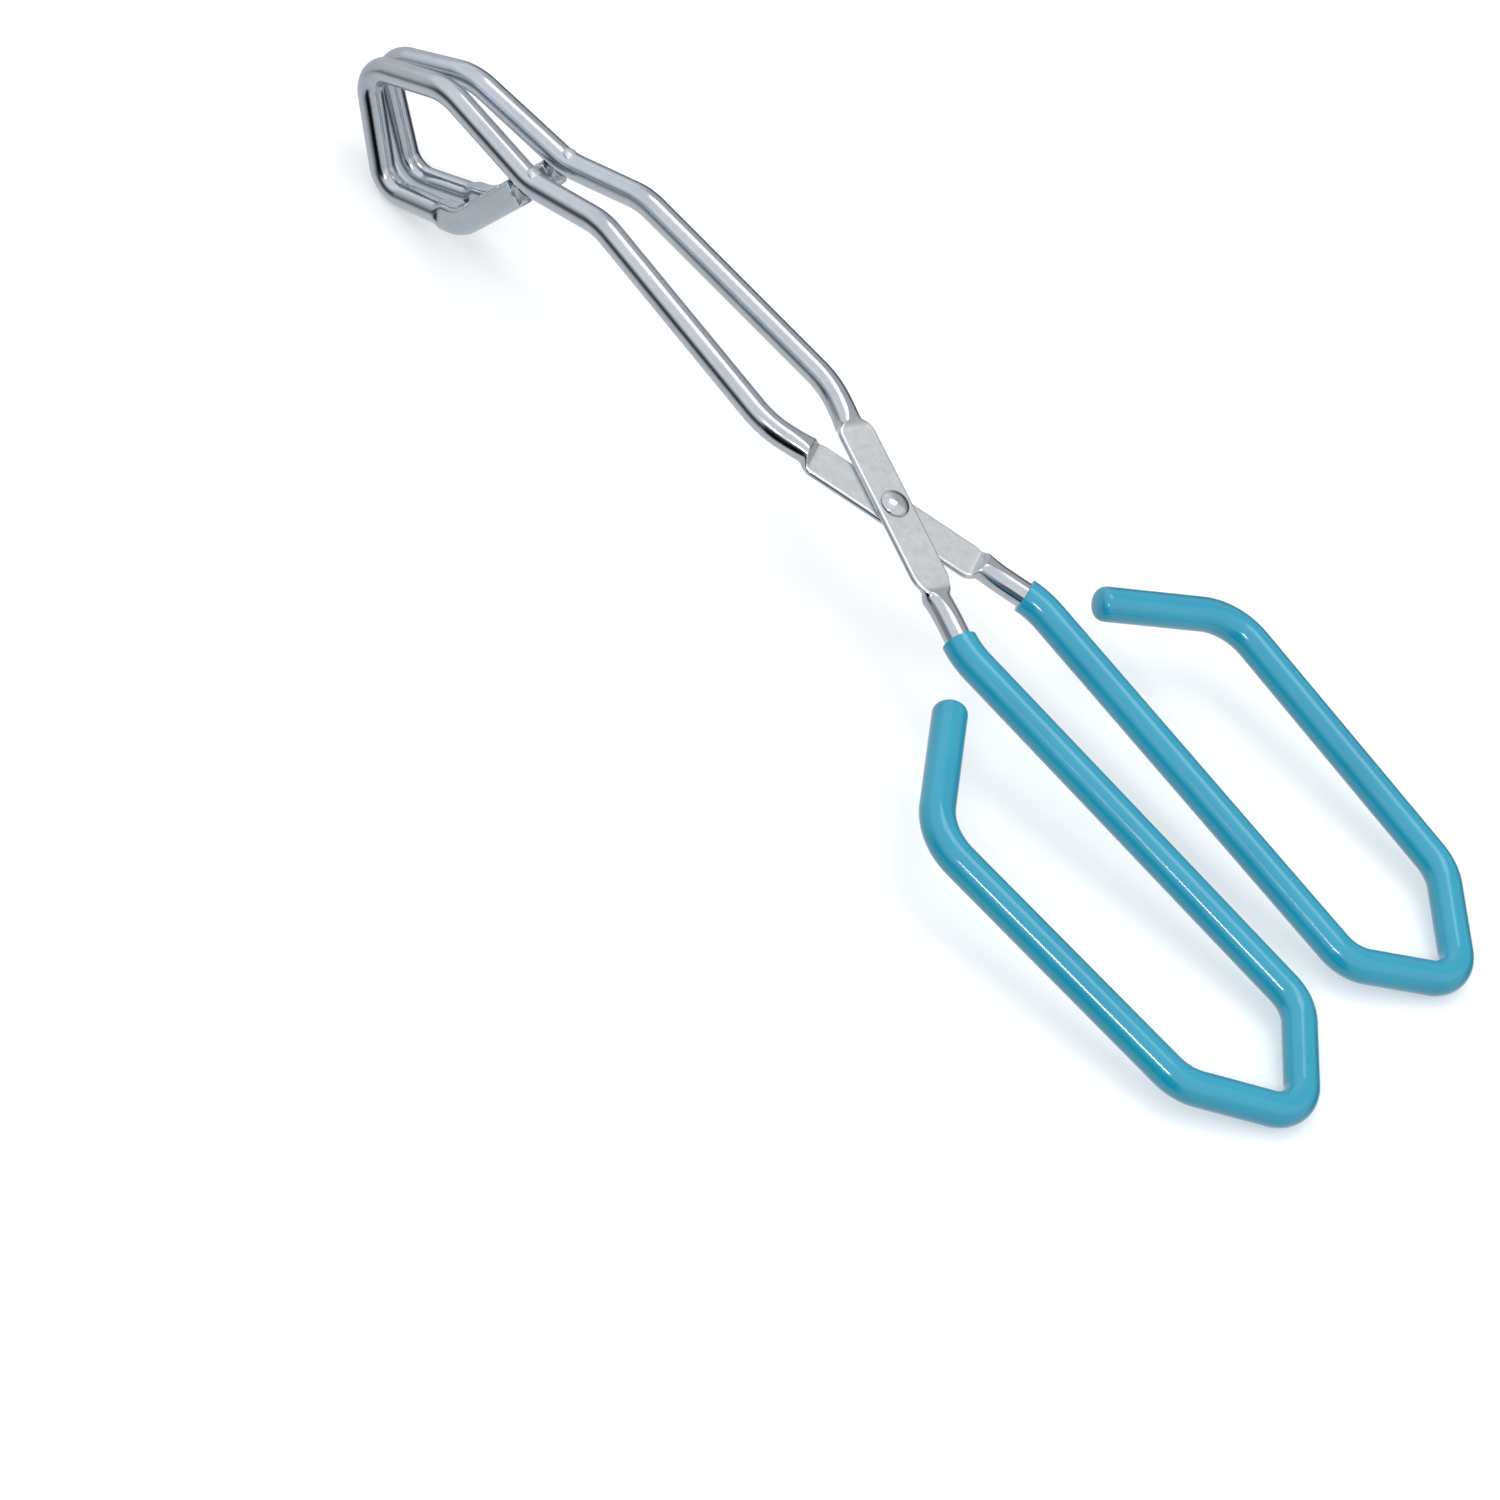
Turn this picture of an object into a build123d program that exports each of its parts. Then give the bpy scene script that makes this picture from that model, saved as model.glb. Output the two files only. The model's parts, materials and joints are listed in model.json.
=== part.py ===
"""Wire-loop scissor tongs: two bent steel tubes crossed on one rivet, with dipped finger loops.

Lengths are in millimetres and angles in degrees. The tongs lie at rest on a flat surface: both jaw
bottoms and both finger-loop tips touch Z = 0, so the plane in which the halves turn leans nose up.
+X runs to the jaws, +Y to the user's left and +Z up. The origin is under the middle of the tongs.
"""

import os
from math import asin, atan2, cos, degrees, hypot, radians, sin, tan

from build123d import *

os.makedirs("parts", exist_ok=True)

# Tube, dipped coating and pivot: the driving sizes.
tube_radius = 3.0
tube_wall = 0.7
coating = 0.95
coating_end_cap = 1.6
coating_lip_round = 0.35
coating_end_round = 2.6

plate_width = 9.6
plate_thickness = 1.5
plate_corner = 2.6
plate_jaw_length = 20.5
plate_handle_length = 22.0
plate_taper_length = 3.5
plate_end_width = 8.4
plate_end_thickness = 1.1
plate_end_corner = 0.5
plate_end_inset = 1.6
crossing_half_angle = 20.2

rivet_shank_radius = 2.0
rivet_head_radius = 3.45
rivet_head_height = 1.7
rivet_button_radius = 2.8
rivet_button_height = 1.0
rivet_button_round = 0.6
running_clearance = 0.05

# Jaw half: distances from the rivet in the plane of the halves, and depths below that plane.
arm_bend_reach = 32.9
arm_bend_radius = 20.0
arm_end_x = 89.0
arm_end_radius = 14.0
jaw_joint_x = 108.0
jaw_joint_depth = 9.1
jaw_joint_radius = 14.0
jaw_top_x = 137.4
jaw_top_depth = 10.8
jaw_top_radius = 14.0
jaw_tip_x = 157.7
jaw_tip_depth = 26.0
jaw_tip_radius = 6.5
jaw_heel_x = 137.0
jaw_heel_depth = 47.0
jaw_heel_radius = 7.0
jaw_return_x = 116.6
jaw_return_depth = 34.2
jaw_return_radius = 10.0
tail_end_gap = 1.9
jaw_tip_inset = 0.06

# The last run of each jaw loop is the same tube pressed flat-sided.
tail_height = 6.7
tail_thickness = 4.6
tail_corner = 1.2
tail_taper_length = 3.0
tail_straight_before_bend = 4.0
weld_stub_radius = 2.2
weld_bead_radius = 2.4
weld_bead_setback = 0.6
weld_bead_height = 0.65

# Handle half: the finger loop's corners, measured from the rivet.
neck_reach = 38.6
neck_radius = 18.0
grip_straight_before_bend = 0.267
loop_inner_x = 139.7
loop_inner_y = 9.7
loop_inner_radius = 10.0
loop_tip_x = 158.5
loop_tip_y = 31.2
loop_tip_radius = 8.0
loop_outer_x = 137.0
loop_outer_y = 51.0
loop_outer_radius = 12.0
loop_shoulder_x = 63.7
loop_shoulder_y = 55.9
loop_shoulder_radius = 14.0
loop_end_x = 43.4
loop_end_y = 27.0

LEFT = 1
RIGHT = -1
SIDE_NAMES = {LEFT: "left", RIGHT: "right"}
LOWER = -1
UPPER = 1
LEVEL_NAMES = {LOWER: "lower", UPPER: "upper"}

grip_radius = tube_radius + coating
weld_bead_rise = tube_radius + weld_bead_height - weld_bead_radius
tail_end_setback = tube_radius + tail_end_gap
bore_radius = tube_radius - tube_wall
plate_hole_radius = rivet_shank_radius + running_clearance
plate_offset = (plate_thickness + running_clearance) / 2
arm_bend_x = arm_bend_reach * cos(radians(crossing_half_angle))
arm_bend_y = arm_bend_reach * sin(radians(crossing_half_angle))
jaw_tip_corner_y = tube_radius - jaw_tip_inset
jaw_convergence = (arm_bend_y - jaw_tip_corner_y) / (jaw_tip_x - arm_bend_x)
jaw_plane_cosine = cos(atan2(arm_bend_y - jaw_tip_corner_y, jaw_tip_x - arm_bend_x))


def flat_jaw_point(side, x, depth):
    """A point of one jaw from the rivet: each loop lies in one plane that closes on the other jaw."""
    return Vector(x, side * (arm_bend_y - (x - arm_bend_x) * jaw_convergence), -depth)


def flat_handle_point(side, x, y):
    """A corner of one finger loop from the rivet."""
    return Vector(-x, side * y, 0)


def bend_centre(before, corner, after, radius):
    """Centre of the arc that rounds a corner."""
    towards = (before - corner).normalized()
    onwards = (after - corner).normalized()
    half_angle = radians(towards.get_angle(onwards)) / 2
    return corner + (towards + onwards).normalized() * (radius / sin(half_angle))


# Resting slope: the jaw heel and the finger-loop tip touch the surface together.
flat_top = flat_jaw_point(LEFT, jaw_top_x, jaw_top_depth)
flat_tip = flat_jaw_point(LEFT, jaw_tip_x, jaw_tip_depth)
flat_heel = flat_jaw_point(LEFT, jaw_heel_x, jaw_heel_depth)
flat_return = flat_jaw_point(LEFT, jaw_return_x, jaw_return_depth)
heel_centre = bend_centre(flat_tip, flat_heel, flat_return, jaw_heel_radius)
tip_centre = bend_centre(flat_top, flat_tip, flat_heel, jaw_tip_radius)
loop_tip_centre = bend_centre(
    flat_handle_point(LEFT, loop_inner_x, loop_inner_y),
    flat_handle_point(LEFT, loop_tip_x, loop_tip_y),
    flat_handle_point(LEFT, loop_outer_x, loop_outer_y),
    loop_tip_radius,
)
loop_far_x = loop_tip_centre.X - loop_tip_radius
contact_run = heel_centre.X - loop_far_x
contact_drop = jaw_heel_radius + tube_radius - grip_radius
slope = asin(contact_drop / hypot(contact_run, heel_centre.Z)) - atan2(heel_centre.Z, contact_run)
pivot_height = grip_radius - loop_far_x * sin(slope)
rear_reach = grip_radius - loop_far_x * cos(slope)
front_reach = (
    tip_centre.X * cos(slope)
    - tip_centre.Z * sin(slope)
    + jaw_tip_radius * hypot(jaw_plane_cosine * cos(slope), sin(slope))
    + tube_radius
)
pivot_x = (rear_reach - front_reach) / 2

pivot_plane = Plane(
    origin=(pivot_x, 0, pivot_height),
    x_dir=(cos(slope), 0, sin(slope)),
    z_dir=(-sin(slope), 0, cos(slope)),
)


def jaw_point(side, x, depth):
    """A point of one jaw in the tongs' frame."""
    return pivot_plane.from_local_coords(flat_jaw_point(side, x, depth))


def handle_point(side, x, y):
    """A corner of one finger loop in the tongs' frame."""
    return pivot_plane.from_local_coords(flat_handle_point(side, x, y))


def along_cross(side, reach):
    """A point of a half's straight middle run, towards the given side."""
    angle = radians(crossing_half_angle)
    flat_point = Vector(reach * cos(angle), side * reach * sin(angle), 0)
    return pivot_plane.from_local_coords(flat_point)


def between(start, end, distance):
    """The point that lies a distance from start towards end."""
    return start + (end - start).normalized() * distance


def section_plane(origin, direction, side_dir):
    """A plane across a tube, with its first axis level across the tube."""
    return Plane(origin=origin, x_dir=side_dir, z_dir=direction)


def jaw_corners(side):
    """The corners of one jaw, in order from the end of the arm to the end of the tail."""
    corner = {
        "arm_end": jaw_point(side, arm_end_x, 0),
        "joint": jaw_point(side, jaw_joint_x, jaw_joint_depth),
        "top": jaw_point(side, jaw_top_x, jaw_top_depth),
        "tip": jaw_point(side, jaw_tip_x, jaw_tip_depth),
        "heel": jaw_point(side, jaw_heel_x, jaw_heel_depth),
        "return": jaw_point(side, jaw_return_x, jaw_return_depth),
    }
    corner["tail_end"] = between(corner["joint"], corner["return"], tail_end_setback)
    return corner


def arm_split(side):
    """Where the arm's length of tube meets the jaw loop's, halfway down the slope."""
    corner = jaw_corners(side)
    return (corner["arm_end"] + corner["joint"]) / 2


def tail_start(side):
    """Where the round tube meets the flat-sided tail."""
    corner = jaw_corners(side)
    onwards = corner["tail_end"] - corner["return"]
    turn = (corner["return"] - corner["heel"]).get_angle(onwards)
    arc_start = jaw_return_radius * tan(radians(turn) / 2)
    setback = arc_start + tail_straight_before_bend
    return between(corner["return"], corner["heel"], setback)


def handle_corners(side):
    """The corners of one finger loop from the neck to the free end, in order."""
    return [
        along_cross(-side, -neck_reach),
        handle_point(side, loop_inner_x, loop_inner_y),
        handle_point(side, loop_tip_x, loop_tip_y),
        handle_point(side, loop_outer_x, loop_outer_y),
        handle_point(side, loop_shoulder_x, loop_shoulder_y),
        handle_point(side, loop_end_x, loop_end_y),
    ]


loop_radii = [neck_radius, loop_inner_radius, loop_tip_radius, loop_outer_radius, loop_shoulder_radius]
neck_x = neck_reach * cos(radians(crossing_half_angle))
neck_y = neck_reach * sin(radians(crossing_half_angle))
neck_turn = radians(crossing_half_angle) + atan2(neck_y - loop_inner_y, loop_inner_x - neck_x)
grip_start_reach = neck_reach - neck_radius * tan(neck_turn / 2) - grip_straight_before_bend


def finish(part, label):
    """Label a finished piece and write it."""
    part.part.label = label
    export_step(part.part, f"parts/{label}.step")


def make_tube(label, points, bends):
    """A length of the round tube along straight runs joined by bends."""
    with BuildPart() as tube:
        with BuildLine() as route:
            FilletPolyline(*points, radius=bends)
        with BuildSketch(Plane(origin=route.line @ 0, z_dir=route.line % 0)):
            Circle(tube_radius)
            Circle(bore_radius, mode=Mode.SUBTRACT)
        sweep()
    finish(tube, label)


def make_pivot_plate(level):
    """The crossing of one half: its tube pressed flat, with the rivet's hole and a taper at each end."""
    jaw_side = LEFT if level == LOWER else RIGHT
    pivot = pivot_plane.origin
    run = (along_cross(jaw_side, plate_jaw_length) - pivot).normalized()
    across = pivot_plane.z_dir.cross(run)
    lift = pivot_plane.z_dir * (level * plate_offset)
    centre = pivot + lift
    with BuildPart() as plate:
        with BuildSketch(Plane(origin=centre, x_dir=run, z_dir=pivot_plane.z_dir)):
            middle = (plate_jaw_length - plate_handle_length) / 2
            with Locations((middle, 0)):
                RectangleRounded(plate_jaw_length + plate_handle_length, plate_width, plate_corner)
            Circle(plate_hole_radius, mode=Mode.SUBTRACT)
        extrude(amount=plate_thickness / 2, both=True)
        for direction, length in ((1, plate_jaw_length), (-1, plate_handle_length)):
            flat_end = centre + run * (direction * (length - plate_end_inset))
            round_end = pivot + run * (direction * (length + plate_taper_length))
            with BuildSketch(section_plane(flat_end, run * direction, across)):
                RectangleRounded(plate_end_width, plate_end_thickness, plate_end_corner)
            with BuildSketch(section_plane(round_end, run * direction, across)):
                Circle(tube_radius)
            loft()
    finish(plate, f"{LEVEL_NAMES[level]}_pivot_plate")


def make_jaw_arm(side):
    """The straight run of tube from the crossing to the slope above the jaw."""
    points = [
        along_cross(side, plate_jaw_length + plate_taper_length),
        along_cross(side, arm_bend_reach),
        jaw_corners(side)["arm_end"],
        arm_split(side),
    ]
    make_tube(f"{SIDE_NAMES[side]}_jaw_arm", points, [arm_bend_radius, arm_end_radius])


def make_jaw_loop(side):
    """The five-sided loop of round tube that takes hold of things."""
    corner = jaw_corners(side)
    points = [
        arm_split(side),
        corner["joint"],
        corner["top"],
        corner["tip"],
        corner["heel"],
        tail_start(side),
    ]
    bends = [jaw_joint_radius, jaw_top_radius, jaw_tip_radius, jaw_heel_radius]
    make_tube(f"{SIDE_NAMES[side]}_jaw_loop", points, bends)


def make_jaw_tail(side):
    """The loop's last run, pressed flat-sided, which rises to the underside of the arm."""
    corner = jaw_corners(side)
    start = tail_start(side)
    run = (corner["return"] - start).normalized()
    flat_start = start + run * tail_taper_length
    level_dir = run.cross((corner["tail_end"] - corner["return"]).normalized()).normalized()
    with BuildPart() as tail:
        with BuildSketch(section_plane(start, run, level_dir)):
            Circle(tube_radius)
        with BuildSketch(section_plane(flat_start, run, level_dir)):
            RectangleRounded(tail_thickness, tail_height, tail_corner)
        loft()
        with BuildLine() as route:
            FilletPolyline(flat_start, corner["return"], corner["tail_end"], radius=jaw_return_radius)
        with BuildSketch(section_plane(route.line @ 0, run, level_dir)):
            RectangleRounded(tail_thickness, tail_height, tail_corner)
        sweep()
    finish(tail, f"{SIDE_NAMES[side]}_jaw_tail")


def make_jaw_welds(side):
    """The weld that closes the loop: a stub under the arm, and the bead that shows on top of it."""
    corner = jaw_corners(side)
    rise = corner["joint"] - corner["tail_end"]
    slope_run = (corner["arm_end"] - corner["joint"]).normalized()
    level_run = (corner["top"] - corner["joint"]).normalized()
    arm_route = [
        corner["joint"] + slope_run * jaw_joint_radius,
        corner["joint"],
        corner["joint"] + level_run * jaw_joint_radius,
    ]
    bead_centre = corner["joint"] + level_run * weld_bead_setback + pivot_plane.z_dir * weld_bead_rise
    with BuildPart() as stub:
        with BuildSketch(Plane(origin=corner["tail_end"], z_dir=rise)):
            Circle(weld_stub_radius)
        extrude(amount=tail_end_setback)
        with BuildLine() as route:
            FilletPolyline(*arm_route, radius=jaw_joint_radius)
        with BuildSketch(Plane(origin=route.line @ 0, z_dir=route.line % 0)):
            Circle(tube_radius)
        sweep(mode=Mode.SUBTRACT)
    finish(stub, f"{SIDE_NAMES[side]}_weld_stub")
    with BuildPart() as bead:
        with Locations(bead_centre):
            Sphere(weld_bead_radius)
        with BuildLine() as route:
            FilletPolyline(*arm_route, radius=jaw_joint_radius)
        with BuildSketch(Plane(origin=route.line @ 0, z_dir=route.line % 0)):
            Circle(tube_radius)
        sweep(mode=Mode.SUBTRACT)
    finish(bead, f"{SIDE_NAMES[side]}_weld_bead")


def make_neck(side):
    """The short bare run of tube between the crossing and the coating."""
    start_reach = plate_handle_length + plate_taper_length
    start = along_cross(-side, -start_reach)
    run = along_cross(-side, -grip_start_reach) - start
    with BuildPart() as neck:
        with BuildSketch(Plane(origin=start, z_dir=run)):
            Circle(tube_radius)
            Circle(bore_radius, mode=Mode.SUBTRACT)
        extrude(amount=grip_start_reach - start_reach)
    finish(neck, f"{SIDE_NAMES[side]}_neck")


def core_points(side):
    """The tube's route inside the coating, which closes over its free end."""
    points = [along_cross(-side, -grip_start_reach), *handle_corners(side)]
    points[-1] = between(points[-1], points[-2], coating_end_cap)
    return points


def make_handle_core(side):
    """The finger loop's steel tube, all of it inside the coating."""
    make_tube(f"{SIDE_NAMES[side]}_handle_core", core_points(side), loop_radii)


def make_grip(side):
    """The dipped vinyl coating of one finger loop, closed and rounded at its free end."""
    start = along_cross(-side, -grip_start_reach)
    with BuildPart() as grip:
        with BuildLine() as route:
            FilletPolyline(start, *handle_corners(side), radius=loop_radii)
        start_dir = route.line % 0
        end_dir = route.line % 1
        with BuildSketch(Plane(origin=start, z_dir=start_dir)):
            Circle(grip_radius)
        sweep()
        start_face = grip.faces().filter_by(GeomType.PLANE).sort_by_distance(start)[0]
        end_face = grip.faces().filter_by(GeomType.PLANE).sort_by_distance(route.line @ 1)[0]
        fillet(start_face.edges(), coating_lip_round)
        fillet(end_face.edges(), coating_end_round)
        with BuildLine() as bore_route:
            FilletPolyline(*core_points(side), radius=loop_radii)
        with BuildSketch(Plane(origin=start, z_dir=start_dir)):
            Circle(tube_radius)
        sweep(path=bore_route.line, mode=Mode.SUBTRACT)
    finish(grip, f"{SIDE_NAMES[side]}_grip")


def make_rivet():
    """The one rivet: a domed head on top, its shank, and the button formed underneath."""
    stack_half = plate_thickness + running_clearance / 2
    head_seat = stack_half + running_clearance
    with BuildPart() as rivet:
        with BuildSketch(pivot_plane.offset(-head_seat)):
            Circle(rivet_shank_radius)
        extrude(amount=2 * head_seat)
        with BuildSketch(pivot_plane.offset(-head_seat - rivet_button_height)):
            Circle(rivet_button_radius)
        extrude(amount=rivet_button_height)
        fillet(rivet.edges().group_by(pivot_plane_axis)[0], rivet_button_round)
        dome_radius = (rivet_head_radius**2 + rivet_head_height**2) / (2 * rivet_head_height)
        profile_plane = Plane(
            origin=pivot_plane.origin, x_dir=pivot_plane.x_dir, z_dir=-pivot_plane.y_dir
        )
        with BuildSketch(profile_plane):
            with BuildLine():
                Line((0, head_seat), (rivet_head_radius, head_seat))
                RadiusArc(
                    (rivet_head_radius, head_seat),
                    (0, head_seat + rivet_head_height),
                    -dome_radius,
                )
                Line((0, head_seat + rivet_head_height), (0, head_seat))
            make_face()
        revolve(axis=pivot_plane_axis)
    finish(rivet, "rivet")


pivot_plane_axis = Axis(pivot_plane.origin, pivot_plane.z_dir)

make_rivet()
for level in (LOWER, UPPER):
    make_pivot_plate(level)
for side in (LEFT, RIGHT):
    make_jaw_arm(side)
    make_jaw_loop(side)
    make_jaw_tail(side)
    make_jaw_welds(side)
    make_neck(side)
    make_handle_core(side)
    make_grip(side)

print(f"pivot at x {pivot_x:.3f} z {pivot_height:.3f}, slope {degrees(slope):.4f} degrees")
print(f"overall length {front_reach + rear_reach:.2f}")
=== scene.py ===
"""Crucible tongs: two bent halves of polished tube on a rivet, with dipped finger loops."""

import json
import logging
import math
from dataclasses import dataclass
from enum import Enum

import bmesh
import bpy
from mathutils import Matrix, Vector


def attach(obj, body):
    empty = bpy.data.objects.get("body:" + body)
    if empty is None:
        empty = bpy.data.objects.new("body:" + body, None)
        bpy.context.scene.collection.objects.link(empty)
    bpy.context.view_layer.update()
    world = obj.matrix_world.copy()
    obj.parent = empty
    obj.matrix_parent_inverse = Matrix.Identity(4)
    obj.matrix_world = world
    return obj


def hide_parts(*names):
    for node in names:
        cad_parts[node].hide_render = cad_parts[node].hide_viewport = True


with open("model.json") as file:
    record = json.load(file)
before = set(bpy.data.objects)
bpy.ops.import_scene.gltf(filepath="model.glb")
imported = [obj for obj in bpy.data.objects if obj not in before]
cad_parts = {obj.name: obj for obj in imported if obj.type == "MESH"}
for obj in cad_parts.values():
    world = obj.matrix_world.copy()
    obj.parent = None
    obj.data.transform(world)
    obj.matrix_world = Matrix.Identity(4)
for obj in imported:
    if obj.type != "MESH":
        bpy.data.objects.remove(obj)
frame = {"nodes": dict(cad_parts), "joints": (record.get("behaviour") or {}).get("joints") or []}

log = logging.getLogger("tongs")

Pair = tuple[float, float]
Profile = tuple[Pair, ...]
Triple = tuple[float, float, float]
Step = tuple[float, float, float, float]
Socket = bpy.types.NodeSocket
Material = bpy.types.Material
Piece = bpy.types.Object

MM = 0.001
TINY = 1e-9

# A ring has this many points, and a bend turns by about this much from ring to ring.
RING = 128
BEND_STEP = math.radians(4.0)

# How far before the section's right-hand side the first point of a ring may lie, in radians.
TURN_SLACK = 0.008

# How far a closed end is drawn on before its ring is merged in one point, in millimetres.
POINT_DRAW = 0.01

TUBE_RADIUS = 3.0


def ease(share: float) -> float:
    """A share from 0 to 1, slowed at both ends."""
    return share * share * (3 - 2 * share)


def pick(piece: Piece) -> None:
    """Makes one object the only one selected, and the active one."""
    bpy.ops.object.select_all(action="DESELECT")
    piece.select_set(True)
    bpy.context.view_layer.objects.active = piece


class Named(Enum):
    """A choice whose name is part of the names of pieces."""

    @property
    def word(self) -> str:
        """The choice's name in lower case."""
        return self.name.lower()


class Side(Named):
    """The user's left or right, by the sign of Y."""

    LEFT = 1
    RIGHT = -1

    @property
    def other(self) -> "Side":
        """The opposite side."""
        return Side(-self.value)


class Level(Named):
    """Which half lies on top at the rivet: it has the right jaw and the left handle."""

    LOWER = -1
    UPPER = 1

    @classmethod
    def of_jaw(cls, side: Side) -> "Level":
        """The half that has the jaw on one side."""
        return cls(-side.value)

    @classmethod
    def of_handle(cls, side: Side) -> "Level":
        """The half that has the handle on one side."""
        return cls(side.value)

    @property
    def jaw_side(self) -> Side:
        """The side on which this half's jaw lies."""
        return Side(-self.value)

    @property
    def body(self) -> str:
        """The name of the body that this half's pieces ride on."""
        return f"{self.word}_half"


@dataclass(frozen=True)
class ScissorFrame:
    """The leaning plane in which the halves turn, with the rivet at its origin."""

    pivot: Vector
    forward: Vector
    left: Vector
    normal: Vector

    @classmethod
    def from_joint(cls, joint: dict) -> "ScissorFrame":
        """Reads the plane from the rivet's hinge.

        Args:
            joint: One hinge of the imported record.

        Returns:
            The plane, in the row frame, in metres.
        """
        normal = Vector(joint["axis"]).normalized()
        left = Vector((0.0, 1.0, 0.0))
        return cls(Vector(joint["pos_m"]), left.cross(normal), left, normal)

    def way(self, x: float, y: float, z: float) -> Vector:
        """A direction or offset given along forward, left and normal."""
        return self.forward * x + self.left * y + self.normal * z

    def at(self, x: float, y: float, z: float = 0.0) -> Vector:
        """A place given in millimetres from the rivet, in metres."""
        return self.pivot + self.way(x, y, z) * MM


@dataclass(frozen=True)
class Section:
    """A rounded rectangle in millimetres that reaches above and below the tube's line."""

    width: float
    above: float
    below: float
    corner: float

    @classmethod
    def round(cls, radius: float) -> "Section":
        """A plain circle."""
        return cls(2 * radius, radius, radius, radius)

    @property
    def middle(self) -> float:
        """How far the section's middle lies above the tube's line."""
        return (self.above - self.below) / 2

    def outline(self, count: int) -> list[Pair]:
        """Points spaced evenly round the outline, from the middle of the right-hand side.

        Args:
            count: How many points.

        Returns:
            The points in metres, across and up, round the way that turns across into up.
        """
        half_w = self.width / 2
        half_h = (self.above + self.below) / 2
        corner = min(self.corner, half_w, half_h)
        straight_w = half_w - corner
        straight_h = half_h - corner
        arc = math.pi * corner / 2
        quarter = straight_h + arc + straight_w
        points = []
        for index in range(count):
            travel = 4 * quarter * index / count
            turn = min(int(travel / quarter + TINY), 3)
            rest = travel - turn * quarter
            if turn % 2:
                rest = quarter - rest
            if rest <= straight_h:
                x, y = half_w, rest
            elif rest <= straight_h + arc:
                angle = (rest - straight_h) / max(corner, TINY)
                x = straight_w + corner * math.cos(angle)
                y = straight_h + corner * math.sin(angle)
            else:
                x, y = quarter - rest, half_h
            if turn in (1, 2):
                x = -x
            if turn in (2, 3):
                y = -y
            points.append((x * MM, (y + self.middle) * MM))
        return points


TUBE = Section.round(TUBE_RADIUS)


class TubeWork:
    """A tube in the making: one ring that is drawn out, bent and pressed, run by run."""

    def __init__(self, name: str, at: Vector, heading: Vector, across: Vector, section: Section):
        """Sets the first ring.

        Args:
            name: The finished piece's name.
            at: The tube's line at the first ring.
            heading: The way the tube is drawn.
            across: The first axis of its section.
            section: The first ring's outline.
        """
        self.at = at.copy()
        self.heading = heading.normalized()
        self.across = (across - self.heading * across.dot(self.heading)).normalized()
        self.section = section
        self.travel = 0.0
        turn = Matrix((self.across, self.up, self.across.cross(self.up))).transposed()
        bpy.ops.object.select_all(action="DESELECT")
        bpy.ops.mesh.primitive_circle_add(
            vertices=RING,
            radius=section.width / 2 * MM,
            location=self.at,
            rotation=turn.to_euler(),
        )
        self.piece = bpy.context.object
        self.piece.name = name
        self.piece.data.name = name
        bpy.ops.object.transform_apply(location=True, rotation=True, scale=True)
        bpy.ops.object.mode_set(mode="EDIT")
        bpy.ops.mesh.select_all(action="SELECT")
        bmesh.from_edit_mesh(self.piece.data).verts.layers.float_vector.new("drawn")
        bmesh.update_edit_mesh(self.piece.data)
        self._place(section)

    @property
    def up(self) -> Vector:
        """The second axis of the section."""
        return self.heading.cross(self.across)

    def _ring(self, mesh: bmesh.types.BMesh) -> list[bmesh.types.BMVert]:
        """The selected ring, in order round the section.

        Args:
            mesh: The mesh in edit mode.

        Returns:
            Its vertices, from the one on the section's right-hand side.
        """
        middle = self.at + self.up * (self.section.middle * MM)

        def turn(vert: bmesh.types.BMVert) -> float:
            """How far round the section a vertex lies."""
            arm = vert.co - middle
            angle = math.atan2(arm.dot(self.up), arm.dot(self.across))
            return (angle + TURN_SLACK) % math.tau

        return sorted((v for v in mesh.verts if v.select), key=turn)

    def _mark(self) -> None:
        """Writes each selected vertex's place on the tube as if it were still straight."""
        mesh = bmesh.from_edit_mesh(self.piece.data)
        drawn = mesh.verts.layers.float_vector["drawn"]
        for vert in mesh.verts:
            if vert.select:
                arm = vert.co - self.at
                vert[drawn] = (arm.dot(self.across), arm.dot(self.up), self.travel)
        bmesh.update_edit_mesh(self.piece.data)

    def _place(self, section: Section) -> None:
        """Sets the selected ring to an outline.

        Args:
            section: The outline.
        """
        mesh = bmesh.from_edit_mesh(self.piece.data)
        for vert, (x, y) in zip(self._ring(mesh), section.outline(RING)):
            vert.co = self.at + self.across * x + self.up * y
        bmesh.update_edit_mesh(self.piece.data)
        self.section = section
        self._mark()

    def draw(self, length: float) -> None:
        """Draws the ring straight on.

        Args:
            length: How far, in metres.
        """
        step = self.heading * length
        bpy.ops.mesh.extrude_region_move(TRANSFORM_OT_translate={"value": step})
        self.at += step
        self.travel += length
        self._mark()

    def press(self, length: float, section: Section) -> None:
        """Draws the ring on and sets it to another outline.

        Args:
            length: How far, in millimetres.
            section: The outline at the end.
        """
        self.draw(length * MM)
        self._place(section)

    def press_rounds(self, rounds: Profile) -> None:
        """Draws the ring on from circle to circle.

        Args:
            rounds: Each circle's distance from the one before, and its radius, in millimetres.
        """
        for step, radius in rounds:
            self.press(step, Section.round(radius))

    def bend(self, heading: Vector, radius: float) -> None:
        """Bends the tube to a new heading.

        Args:
            heading: The heading after the bend.
            radius: The bend's radius on the tube's line, in metres.
        """
        axis = self.heading.cross(heading).normalized()
        angle = self.heading.angle(heading)
        centre = self.at + axis.cross(self.heading) * radius
        steps = max(3, math.ceil(angle / BEND_STEP))
        turn = Matrix.Rotation(angle / steps, 3, axis)
        for _ in range(steps):
            bpy.ops.mesh.spin(steps=1, angle=-angle / steps, center=centre, axis=axis)
            self.at = centre + turn @ (self.at - centre)
            self.heading = (turn @ self.heading).normalized()
            self.across = (turn @ self.across).normalized()
            self.travel += radius * angle / steps
            self._mark()

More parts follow.
